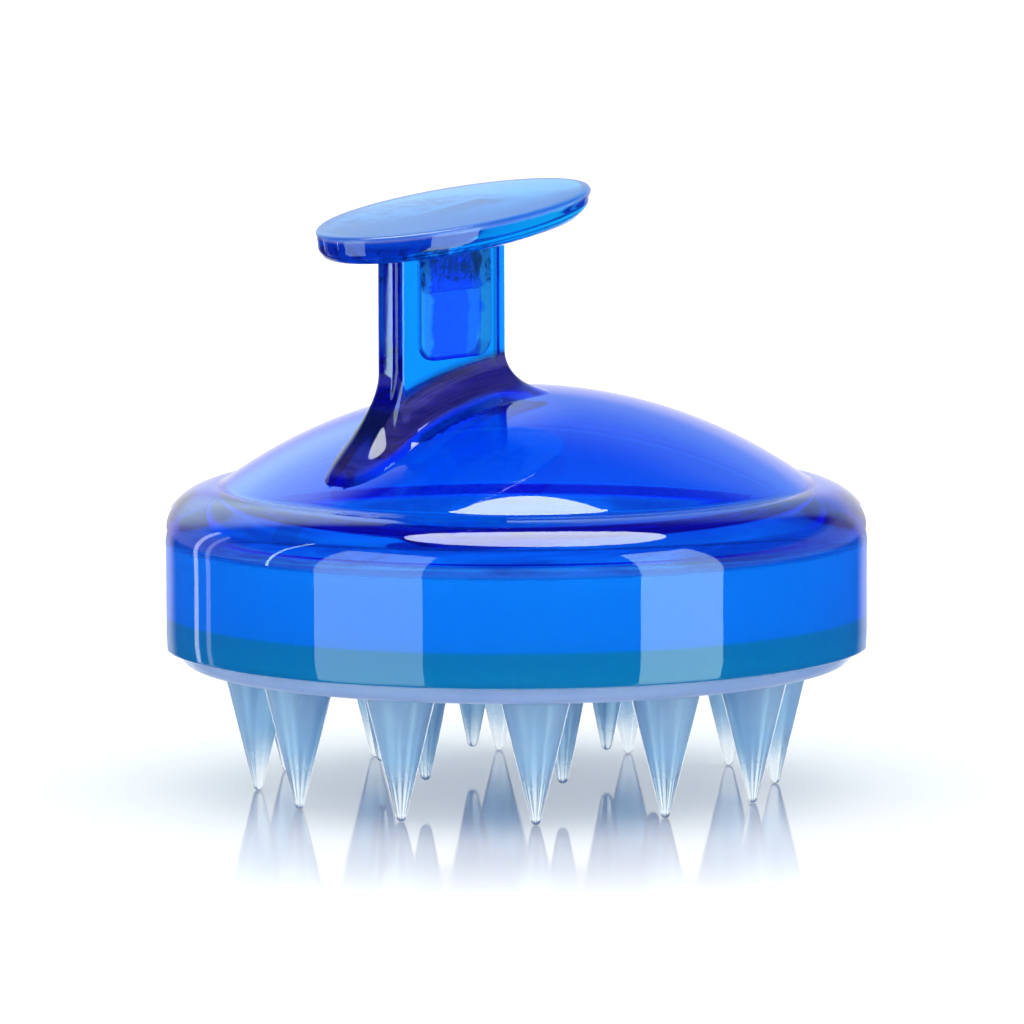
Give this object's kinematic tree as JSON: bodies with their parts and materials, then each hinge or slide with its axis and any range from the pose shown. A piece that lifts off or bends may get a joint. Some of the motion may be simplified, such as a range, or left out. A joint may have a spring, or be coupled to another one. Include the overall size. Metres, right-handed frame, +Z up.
{
  "type": "scalp massager brush",
  "caption": "Round clear brush with an offset oval finger rest on a blade neck, a domed housing and a soft pad with two rings of tapered massage teeth.",
  "frame": {"origin": "on the brush's turning axis, at the plane of the outer tooth tips that it stands on", "axes": "+Z up out of the dome; the finger rest's long axis lies along X, offset towards -X and rising towards +X; XZ is the plane of symmetry"},
  "size_m": [0.085, 0.085, 0.0724],
  "materials": {
    "housing_plastic": "polished clear blue",
    "plate_plastic": "clear, faintly blue",
    "silicone": "clear satin silicone"
  },
  "bodies": {
    "housing": {"housing_shell": "housing_plastic", "finger_rest": "housing_plastic", "backing_plate": "plate_plastic", "silicone_pad": "silicone"},
    "outer_flex_01": {"outer_tooth_01": "silicone"},
    "outer_flex_02": {"outer_tooth_02": "silicone"},
    "outer_flex_03": {"outer_tooth_03": "silicone"},
    "outer_flex_04": {"outer_tooth_04": "silicone"},
    "outer_flex_05": {"outer_tooth_05": "silicone"},
    "outer_flex_06": {"outer_tooth_06": "silicone"},
    "outer_flex_07": {"outer_tooth_07": "silicone"},
    "outer_flex_08": {"outer_tooth_08": "silicone"},
    "outer_flex_09": {"outer_tooth_09": "silicone"},
    "outer_flex_10": {"outer_tooth_10": "silicone"},
    "outer_flex_11": {"outer_tooth_11": "silicone"},
    "outer_flex_12": {"outer_tooth_12": "silicone"},
    "inner_flex_01": {"inner_tooth_01": "silicone"},
    "inner_flex_02": {"inner_tooth_02": "silicone"},
    "inner_flex_03": {"inner_tooth_03": "silicone"},
    "inner_flex_04": {"inner_tooth_04": "silicone"},
    "inner_flex_05": {"inner_tooth_05": "silicone"},
    "inner_flex_06": {"inner_tooth_06": "silicone"}
  },
  "joints": [
    {"name": "outer_bend_01", "type": "hinge", "parent": "housing", "child": "outer_flex_01", "pos_m": [0.02994, 0.00802, 0.015], "axis": [0.2588, -0.9659, 0], "range_deg": [-12, 18], "stiffness_Nm_per_rad": 0.07},
    {"name": "outer_bend_02", "type": "hinge", "parent": "housing", "child": "outer_flex_02", "pos_m": [0.02192, 0.02192, 0.015], "axis": [0.7071, -0.7071, 0], "range_deg": [-12, 18], "stiffness_Nm_per_rad": 0.07},
    {"name": "outer_bend_03", "type": "hinge", "parent": "housing", "child": "outer_flex_03", "pos_m": [0.00802, 0.02994, 0.015], "axis": [0.9659, -0.2588, 0], "range_deg": [-12, 18], "stiffness_Nm_per_rad": 0.07},
    {"name": "outer_bend_04", "type": "hinge", "parent": "housing", "child": "outer_flex_04", "pos_m": [-0.00802, 0.02994, 0.015], "axis": [0.9659, 0.2588, 0], "range_deg": [-12, 18], "stiffness_Nm_per_rad": 0.07},
    {"name": "outer_bend_05", "type": "hinge", "parent": "housing", "child": "outer_flex_05", "pos_m": [-0.02192, 0.02192, 0.015], "axis": [0.7071, 0.7071, 0], "range_deg": [-12, 18], "stiffness_Nm_per_rad": 0.07},
    {"name": "outer_bend_06", "type": "hinge", "parent": "housing", "child": "outer_flex_06", "pos_m": [-0.02994, 0.00802, 0.015], "axis": [0.2588, 0.9659, 0], "range_deg": [-12, 18], "stiffness_Nm_per_rad": 0.07},
    {"name": "outer_bend_07", "type": "hinge", "parent": "housing", "child": "outer_flex_07", "pos_m": [-0.02994, -0.00802, 0.015], "axis": [-0.2588, 0.9659, 0], "range_deg": [-12, 18], "stiffness_Nm_per_rad": 0.07},
    {"name": "outer_bend_08", "type": "hinge", "parent": "housing", "child": "outer_flex_08", "pos_m": [-0.02192, -0.02192, 0.015], "axis": [-0.7071, 0.7071, 0], "range_deg": [-12, 18], "stiffness_Nm_per_rad": 0.07},
    {"name": "outer_bend_09", "type": "hinge", "parent": "housing", "child": "outer_flex_09", "pos_m": [-0.00802, -0.02994, 0.015], "axis": [-0.9659, 0.2588, 0], "range_deg": [-12, 18], "stiffness_Nm_per_rad": 0.07},
    {"name": "outer_bend_10", "type": "hinge", "parent": "housing", "child": "outer_flex_10", "pos_m": [0.00802, -0.02994, 0.015], "axis": [-0.9659, -0.2588, 0], "range_deg": [-12, 18], "stiffness_Nm_per_rad": 0.07},
    {"name": "outer_bend_11", "type": "hinge", "parent": "housing", "child": "outer_flex_11", "pos_m": [0.02192, -0.02192, 0.015], "axis": [-0.7071, -0.7071, 0], "range_deg": [-12, 18], "stiffness_Nm_per_rad": 0.07},
    {"name": "outer_bend_12", "type": "hinge", "parent": "housing", "child": "outer_flex_12", "pos_m": [0.02994, -0.00802, 0.015], "axis": [-0.2588, -0.9659, 0], "range_deg": [-12, 18], "stiffness_Nm_per_rad": 0.07},
    {"name": "inner_bend_01", "type": "hinge", "parent": "housing", "child": "inner_flex_01", "pos_m": [0.0165, 0, 0.015], "axis": [0, -1, 0], "range_deg": [-15, 15], "stiffness_Nm_per_rad": 0.07},
    {"name": "inner_bend_02", "type": "hinge", "parent": "housing", "child": "inner_flex_02", "pos_m": [0.00825, 0.01429, 0.015], "axis": [0.866, -0.5, 0], "range_deg": [-15, 15], "stiffness_Nm_per_rad": 0.07},
    {"name": "inner_bend_03", "type": "hinge", "parent": "housing", "child": "inner_flex_03", "pos_m": [-0.00825, 0.01429, 0.015], "axis": [0.866, 0.5, 0], "range_deg": [-15, 15], "stiffness_Nm_per_rad": 0.07},
    {"name": "inner_bend_04", "type": "hinge", "parent": "housing", "child": "inner_flex_04", "pos_m": [-0.0165, 0, 0.015], "axis": [0, 1, 0], "range_deg": [-15, 15], "stiffness_Nm_per_rad": 0.07},
    {"name": "inner_bend_05", "type": "hinge", "parent": "housing", "child": "inner_flex_05", "pos_m": [-0.00825, -0.01429, 0.015], "axis": [-0.866, 0.5, 0], "range_deg": [-15, 15], "stiffness_Nm_per_rad": 0.07},
    {"name": "inner_bend_06", "type": "hinge", "parent": "housing", "child": "inner_flex_06", "pos_m": [0.00825, -0.01429, 0.015], "axis": [-0.866, -0.5, 0], "range_deg": [-15, 15], "stiffness_Nm_per_rad": 0.07}
  ]
}
